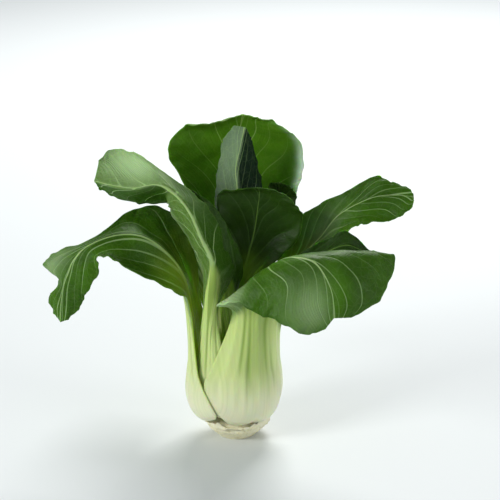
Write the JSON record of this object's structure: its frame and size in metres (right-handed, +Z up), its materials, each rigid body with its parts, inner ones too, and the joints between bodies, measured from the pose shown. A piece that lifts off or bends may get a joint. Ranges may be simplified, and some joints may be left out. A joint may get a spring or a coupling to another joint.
{
  "type": "bok choy",
  "caption": "Upright head of bok choy: thick pale stalks wrapped round a short cut stem, spreading into broad, waved dark green leaves.",
  "frame": {"origin": "centre of the flat cut face under the stem", "axes": "+Z up along the bulb's axis, away from the cut face; -Y towards the side where one outer leaf folds forward"},
  "size_m": [0.2209, 0.1522, 0.1955],
  "materials": {
    "stem": "matte",
    "stalk": "satin",
    "inner_stalk": "satin",
    "blade": "satin",
    "inner_blade": "satin"
  },
  "bodies": {
    "root": {"stem_base": "stem", "left_leaf_stalk": "stalk", "left_leaf_blade": "blade", "front_leaf_stalk": "stalk", "front_leaf_blade": "blade", "back_leaf_stalk": "stalk", "back_leaf_blade": "blade", "left_front_leaf_stalk": "stalk", "left_front_leaf_blade": "blade", "right_leaf_stalk": "stalk", "right_leaf_blade": "blade", "back_left_leaf_stalk": "stalk", "back_left_leaf_blade": "blade", "inner_front_leaf_stalk": "inner_stalk", "inner_front_leaf_blade": "inner_blade", "inner_back_leaf_stalk": "inner_stalk", "inner_back_leaf_blade": "inner_blade", "folded_leaf_stalk": "inner_stalk", "folded_leaf_blade": "inner_blade", "inner_right_leaf_stalk": "inner_stalk", "inner_right_leaf_blade": "inner_blade", "centre_leaf_stalk": "inner_stalk", "centre_leaf_blade": "inner_blade", "heart_front_leaf_stalk": "inner_stalk", "heart_front_leaf_blade": "inner_blade"}
  },
  "joints": []
}
